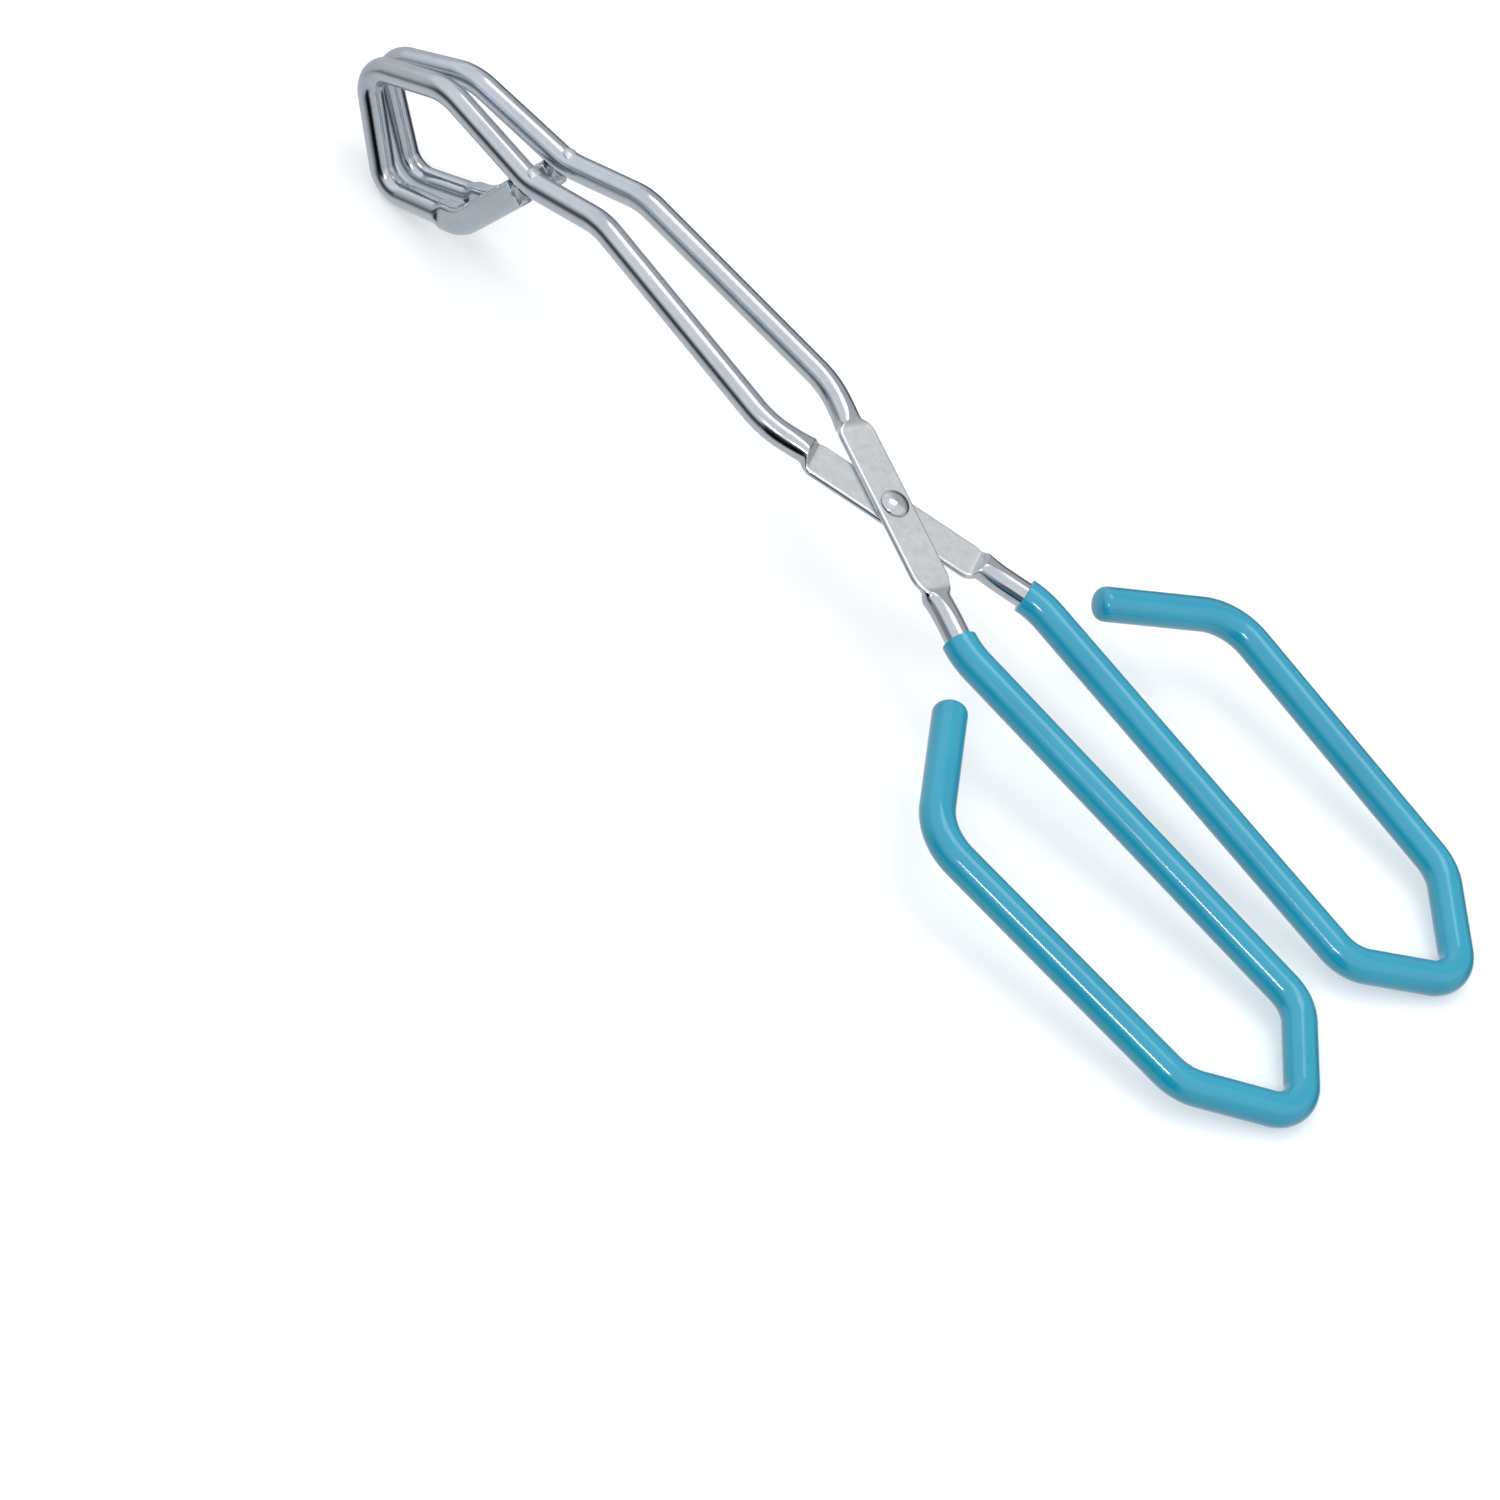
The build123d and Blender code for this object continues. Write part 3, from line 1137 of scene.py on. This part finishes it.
    def dress(self, finishes: Finishes) -> None:
        """Makes and dresses one jaw.

        Args:
            finishes: The tongs' finishes.
        """
        body = Level.of_jaw(self.side).body
        lengths = (
            (self.build_arm, finishes.tube, "polished_steel", "jaw_arm"),
            (self.build_loop, finishes.tube, "polished_steel", "jaw_loop"),
            (self.build_tail, finishes.tube, "polished_steel", "jaw_tail"),
            (self.build_weld, finishes.weld, "weld", "weld_stub"),
            (self.build_bead, finishes.weld, "weld", "weld_bead"),
        )
        for build, finish, slot, part in lengths:
            hand_over(build(), finish, body, f"{self.side.word}_{part}")


@dataclass
class Handle:
    """One handle: the bare neck and the dipped finger loop with its closed, rounded end."""

    plane: ScissorFrame
    crossing: Crossing
    side: Side
    neck: Pair = (38.6, 18.0)
    grip_before_neck: float = 3.8
    neck_in_grip: float = 1.0
    corners: tuple[Triple, ...] = (
        (139.7, 9.7, 10.0), (158.5, 31.2, 8.0), (137.0, 51.0, 12.0), (63.7, 55.9, 14.0),
    )
    free_end: Pair = (43.4, 27.0)
    lip: Profile = (
        (0.0, 3.02), (0.02, 3.30), (0.08, 3.58), (0.12, 3.76), (0.13, 3.88), (0.15, 3.95),
    )
    cap: Profile = (
        (0.70, 3.92), (0.55, 3.80), (0.45, 3.58), (0.38, 3.26), (0.30, 2.84), (0.22, 2.32),
        (0.14, 1.70), (0.08, 1.05), (0.03, 0.45),
    )
    crease: float = 60.0

    def build_neck(self) -> Piece:
        """Draws the bare neck from the crossing's tongue into the coating.

        Returns:
            The finished neck.
        """
        plate_end = self.crossing.handle_length + self.crossing.tongue
        start = self.crossing.along(self.side.other, -plate_end)
        reach = self.neck[0] - self.grip_before_neck + self.neck_in_grip
        end = self.crossing.along(self.side.other, -reach)
        work = TubeWork(f"{self.side.word}_bare_neck", start, end - start, self.plane.normal, TUBE)
        work.draw((end - start).length)
        return work.finish()

    def build_grip(self) -> Piece:
        """Draws the coating from its lip at the neck round the loop to the closed end.

        Returns:
            The finished coating.
        """
        start = self.crossing.along(self.side.other, -(self.neck[0] - self.grip_before_neck))
        bend = self.crossing.along(self.side.other, -self.neck[0])
        name = f"{self.side.word}_dipped_grip"
        first = Section.round(self.lip[0][1])
        work = TubeWork(name, start, bend - start, self.plane.normal, first)
        work.press_rounds(self.lip[1:])
        points = [bend] + [self.plane.at(-x, self.side.value * y) for x, y, _ in self.corners]
        end = self.plane.at(-self.free_end[0], self.side.value * self.free_end[1])
        cap_length = sum(step for step, _ in self.cap) + POINT_DRAW
        points.append(end + (points[-1] - end).normalized() * (cap_length * MM))
        work.follow(points, [self.neck[1]] + [radius for _, _, radius in self.corners])
        work.press_rounds(self.cap)
        work.point()
        return work.finish(self.crease)

    def dress(self, finishes: Finishes) -> None:
        """Makes and dresses one handle.

        Args:
            finishes: The tongs' finishes.
        """
        body = Level.of_handle(self.side).body
        word = self.side.word
        hand_over(self.build_neck(), finishes.tube, body, f"{word}_neck")
        hand_over(self.build_grip(), finishes.vinyl, body, f"{word}_grip")
        core = frame["nodes"][f"{word}_handle_core"]
        core.data.materials.clear()
        core.data.materials.append(finishes.hidden)


class Tent(Board):
    """The world round the tongs in the making: a tent that glows in bands."""

    def facing(self, way: Triple, cosines: Pair, values: Pair) -> Socket:
        """Makes a number that depends on how nearly a direction faces one way.

        Args:
            way: The way.
            cosines: The two cosines between which the number changes.
            values: The number at each.

        Returns:
            The socket that holds the number.
        """
        dot = self.nodes.new("ShaderNodeVectorMath")
        dot.operation = "DOT_PRODUCT"
        spot = self.nodes.new("ShaderNodeTexCoord").outputs["Generated"]
        self.links.new(spot, dot.inputs[0])
        dot.inputs[1].default_value = Vector(way).normalized()
        return self.ramp(dot.outputs["Value"], *cosines, *values)

    def banded(self, bands: Profile, tint: Triple) -> Socket:
        """Makes a colour that changes with how steeply a direction rises.

        Args:
            bands: For each level from -1 to 1, its shade.
            tint: The colour of all the shades.

        Returns:
            The socket that holds the colour.
        """
        spot = self.nodes.new("ShaderNodeTexCoord").outputs["Generated"]
        height = self.nodes.new("ShaderNodeSeparateXYZ")
        self.links.new(spot, height.inputs["Vector"])
        spread = self.nodes.new("ShaderNodeMapRange")
        spread.inputs["From Min"].default_value = -1.0
        self.links.new(height.outputs["Z"], spread.inputs["Value"])
        colours = self.nodes.new("ShaderNodeValToRGB")
        self.links.new(spread.outputs["Result"], colours.inputs["Fac"])
        stops = colours.color_ramp.elements
        while len(stops) < len(bands):
            stops.new(0.5)
        for stop, (level, shade) in zip(stops, bands):
            stop.position = (level + 1) / 2
            stop.color = (*(shade * part for part in tint), 1.0)
        return colours.outputs["Color"]


@dataclass(frozen=True)
class Lamp:
    """A soft lamp that points at the middle of the table."""

    name: str
    place: Triple
    size: Pair
    power: float

    def hang(self) -> None:
        """Hangs the lamp in its place."""
        light = bpy.data.objects.new(self.name, bpy.data.lights.new(self.name, "AREA"))
        bpy.context.scene.collection.objects.link(light)
        light.data.shape = "RECTANGLE"
        light.data.size, light.data.size_y = self.size
        light.data.energy = self.power
        light.location = self.place
        light.rotation_euler = (-Vector(self.place)).to_track_quat("-Z", "Y").to_euler()


@dataclass
class Studio:
    """The table, the soft lights and the camera."""

    plane: ScissorFrame
    eye: Triple = (-193.7, 882.5, 887.0)
    right: Triple = (-0.6606, -0.6141, 0.4319)
    down: Triple = (-0.7379, 0.4249, -0.5243)
    lens: float = 139.2
    sensor: float = 36.0
    clip: Pair = (0.05, 30.0)
    table_half: float = 3.0
    strength: float = 1.45
    tint: Triple = (0.96, 0.985, 1.0)
    bands: Profile = (
        (-1.0, 0.57), (-0.70, 0.55), (-0.54, 0.47), (-0.38, 0.22), (-0.20, 0.05),
        (-0.05, 0.04), (0.08, 0.15), (0.26, 0.48), (0.50, 0.78), (0.70, 0.74), (0.89, 0.72),
        (1.0, 0.80),
    )
    dim_side: Triple = (0.0, -0.84, 0.54)
    dim_cosines: Pair = (0.70, 0.97)
    dim_share: float = 0.58
    openings: tuple[Triple, ...] = (
        (-0.31, 0.95, -0.32),
        (-0.31, 0.95, -0.04),
        (-0.31, 0.95, 0.24),
    )
    opening_cosines: Pair = (0.955, 0.985)
    opening_share: float = 0.12
    end_walls: tuple[Triple, ...] = ((1.0, -0.1, 0.0), (-1.0, 0.1, 0.0))
    wall_cosines: Pair = (0.42, 0.80)
    wall_shade: float = 0.5
    lamps: tuple[Lamp, ...] = (
        Lamp("key", (-0.35, 1.25, 1.0), (0.35, 0.12), 4.2),
        Lamp("top", (0.1, -0.35, 1.6), (0.9, 0.7), 3.0),
    )

    def set_table(self) -> None:
        """Lays the table under the tongs."""
        bpy.ops.object.select_all(action="DESELECT")
        bpy.ops.mesh.primitive_plane_add(size=2 * self.table_half, location=(0.0, 0.0, 0.0))
        table = bpy.context.object
        table.name = "table"
        bpy.ops.object.transform_apply(location=True, rotation=True, scale=True)
        table.data.materials.append(TableTop().build())
        table.visible_glossy = False
        table.visible_diffuse = False

    def set_camera(self) -> None:
        """Sets the camera where it sees the tongs from above their left handle."""
        camera = bpy.data.objects.new("camera", bpy.data.cameras.new("camera"))
        bpy.context.scene.collection.objects.link(camera)
        right = self.plane.way(*self.right).normalized()
        down = self.plane.way(*self.down)
        up = -(down - right * down.dot(right)).normalized()
        turn = Matrix((right, up, right.cross(up))).transposed().to_4x4()
        camera.matrix_world = Matrix.Translation(self.plane.at(*self.eye)) @ turn
        camera.data.lens = self.lens
        camera.data.sensor_width = self.sensor
        camera.data.sensor_fit = "HORIZONTAL"
        camera.data.clip_start, camera.data.clip_end = self.clip
        bpy.context.scene.camera = camera
        bpy.context.scene.view_settings.view_transform = "Standard"

    def set_lights(self) -> None:
        """Pitches the tent, with paler end walls, a dim side and dark openings, and the lamps."""
        world = bpy.data.worlds.new("tent")
        bpy.context.scene.world = world
        world.use_nodes = True
        tent = Tent(world.node_tree)
        background = tent.nodes["Background"]
        glow = tent.banded(self.bands, self.tint)
        for way in self.end_walls:
            lift = tent.nodes.new("ShaderNodeVectorMath")
            lift.operation = "MAXIMUM"
            tent.links.new(glow, lift.inputs[0])
            wall = tent.facing(way, self.wall_cosines, (0.0, self.wall_shade))
            tent.links.new(wall, lift.inputs[1])
            glow = lift.outputs["Vector"]
        tent.links.new(glow, background.inputs["Color"])
        strengths = (self.strength, self.dim_share * self.strength)
        power = tent.facing(self.dim_side, self.dim_cosines, strengths)
        for way in self.openings:
            opening = tent.facing(way, self.opening_cosines, (1.0, self.opening_share))
            power = tent.combine("MULTIPLY", power, opening)
        tent.links.new(power, background.inputs["Strength"])
        for lamp in self.lamps:
            lamp.hang()


def main() -> None:
    """Builds the tongs, piece by piece, and sets the studio round them."""
    logging.basicConfig(level=logging.INFO, format="%(message)s")
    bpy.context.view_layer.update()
    plane = ScissorFrame.from_joint(frame["joints"][0])
    finishes = Finishes()
    crossing = Crossing(plane)
    crossing.dress(finishes)
    Rivet(plane).dress(finishes)
    for side in Side:
        Jaw(plane, crossing, side).dress(finishes)
        Handle(plane, crossing, side).dress(finishes)
    studio = Studio(plane)
    studio.set_table()
    studio.set_camera()
    studio.set_lights()


if __name__ == "__main__":
    main()
